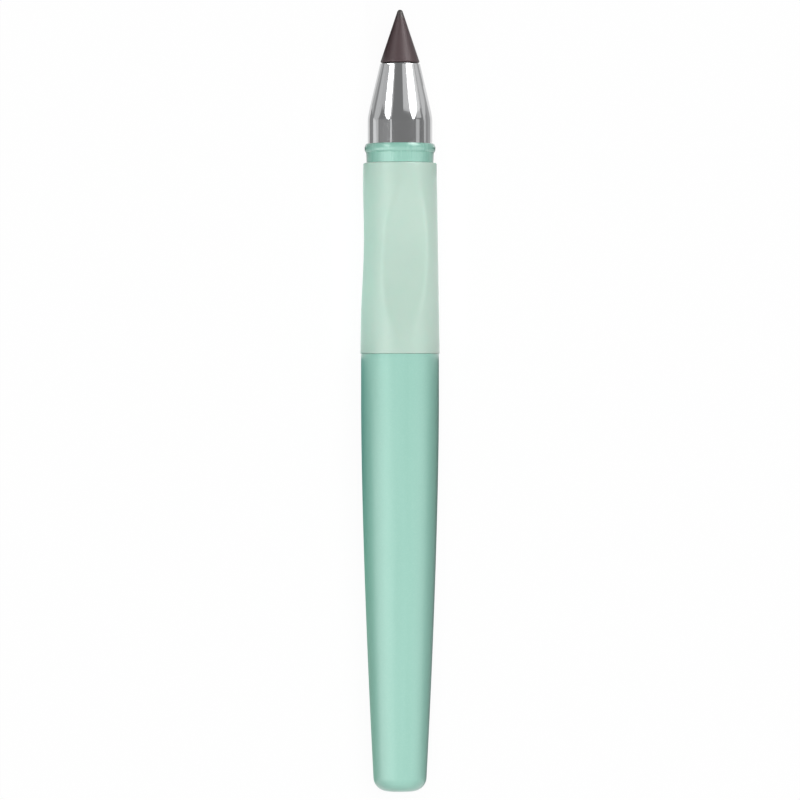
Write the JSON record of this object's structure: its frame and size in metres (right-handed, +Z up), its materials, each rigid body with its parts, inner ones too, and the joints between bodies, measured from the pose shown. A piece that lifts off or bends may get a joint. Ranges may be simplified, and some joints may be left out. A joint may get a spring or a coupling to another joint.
{
  "type": "everlasting pencil",
  "caption": "Everlasting pencil lying on its side: graphite-alloy cone nib in a chromed nose, teal collar, soft grip with finger flats and a tapered pearl teal barrel.",
  "frame": {"origin": "on the table under the middle of the pencil's length, which is the bottom centre of the box", "axes": "+X along the pencil's axis towards the nib, +Z up, which is the side that the picture shows, -Y to the right of the picture"},
  "size_m": [0.135, 0.0138, 0.0136],
  "materials": {
    "graphite_alloy": "satin",
    "steel": "satin",
    "brass": "satin",
    "chrome": "polished",
    "hard_teal": "gloss",
    "soft_mint": "satin",
    "pearl_teal": "satin"
  },
  "bodies": {
    "barrel": {"barrel": "pearl_teal"},
    "section": {"grip_core": "hard_teal", "grip_sleeve": "soft_mint", "nose_cone": "chrome", "nib_bush": "brass"},
    "nib": {"writing_nib": "graphite_alloy", "nib_stud": "steel"}
  },
  "joints": [
    {"name": "section_draws_out", "type": "slide", "parent": "barrel", "child": "section", "axis": [1, 0, 0], "range_m": [0, 0.012]},
    {"name": "nib_draws_out", "type": "slide", "parent": "section", "child": "nib", "axis": [1, 0, 0], "range_m": [0, 0.009]}
  ]
}
